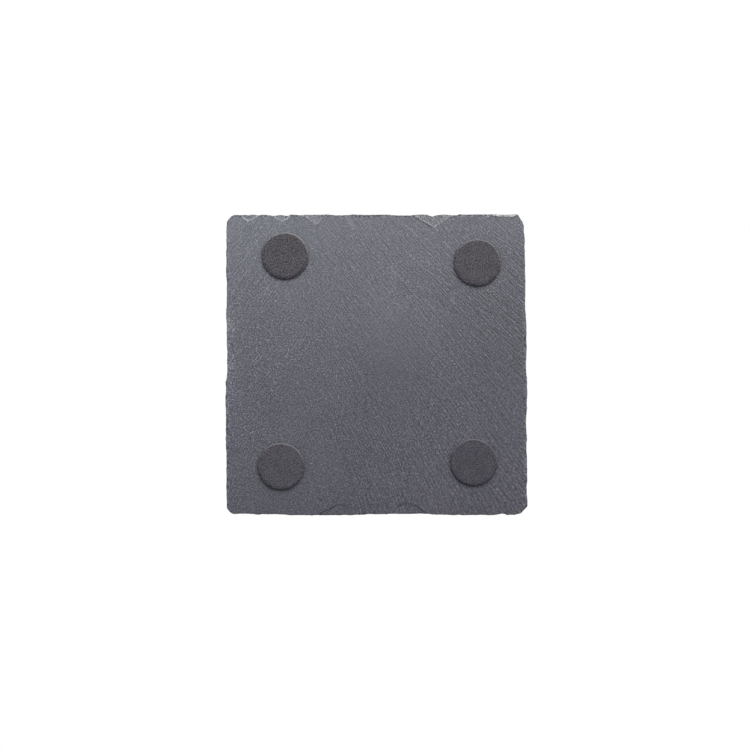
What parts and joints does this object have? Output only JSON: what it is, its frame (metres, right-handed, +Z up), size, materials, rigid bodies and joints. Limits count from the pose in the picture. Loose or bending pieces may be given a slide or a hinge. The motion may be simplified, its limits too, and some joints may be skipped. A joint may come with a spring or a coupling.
{
  "type": "drink coaster",
  "caption": "Square natural slate drink coaster with clipped corners and a hand-chipped upper edge, standing on round black foam feet stuck to its underside.",
  "frame": {"origin": "middle of the base, on the plane of the feet's undersides", "axes": "+Z up through the face that the glass stands on, +X to the right seen from the front side, which faces -Y"},
  "size_m": [0.1, 0.0996, 0.0066],
  "materials": {
    "slate_stone": "natural cleft slate, matt, blue grey, paler where flakes have broken away",
    "eva_foam": "black closed-cell EVA foam, die-cut, matt fine grain",
    "adhesive_film": "thin translucent double-sided film, off-white"
  },
  "bodies": {
    "root": {"slate": "slate_stone", "foot_front_left": "eva_foam", "foot_front_right": "eva_foam", "foot_back_right": "eva_foam", "foot_back_left": "eva_foam", "adhesive_front_left": "adhesive_film", "adhesive_front_right": "adhesive_film", "adhesive_back_right": "adhesive_film", "adhesive_back_left": "adhesive_film"}
  },
  "joints": []
}
